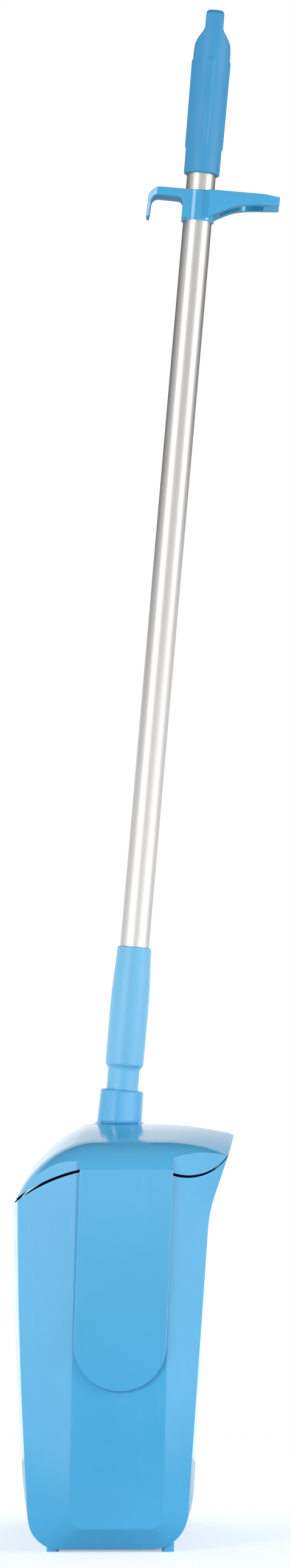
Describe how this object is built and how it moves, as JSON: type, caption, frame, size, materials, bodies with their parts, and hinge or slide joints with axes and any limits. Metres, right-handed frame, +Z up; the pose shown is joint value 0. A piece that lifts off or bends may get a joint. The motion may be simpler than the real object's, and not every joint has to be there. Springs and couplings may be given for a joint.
{
  "type": "upright dustpan",
  "caption": "Upright dustpan with a deep bin that swings between the arms of a hood, a leaning tube handle, a ribbed grip with a hanging eye, and a holder that clips a broom.",
  "frame": {"origin": "on the floor under the middle of the whole part's width and depth", "axes": "+X from the back wall towards the lip, +Y across the width along the hinge, +Z up"},
  "size_m": [0.2314, 0.328, 1.3261],
  "materials": {
    "body_blue": "moulded polypropylene, semi-gloss",
    "holder_blue": "moulded polypropylene, semi-gloss",
    "grip_blue": "moulded polypropylene, fine matte",
    "ferrule_blue": "moulded polypropylene, pale, fine matte",
    "tube_aluminium": "satin anodised",
    "bush_white": "natural acetal",
    "fixing_steel": "stainless"
  },
  "bodies": {
    "handle": {"hood": "body_blue", "handle_tube": "tube_aluminium", "handle_ferrule": "ferrule_blue", "handle_grip": "grip_blue", "tool_holder": "holder_blue", "pivot_washer_left": "fixing_steel", "pivot_washer_right": "fixing_steel", "pivot_screw_left": "fixing_steel", "pivot_screw_right": "fixing_steel"},
    "bin": {"bin": "body_blue", "pivot_bush_left": "bush_white", "pivot_bush_right": "bush_white"}
  },
  "joints": [
    {"name": "bin_swing", "type": "hinge", "parent": "handle", "child": "bin", "pos_m": [-0.02275, 0, 0.1748], "axis": [0, 1, 0], "range_deg": [0, 100]}
  ]
}
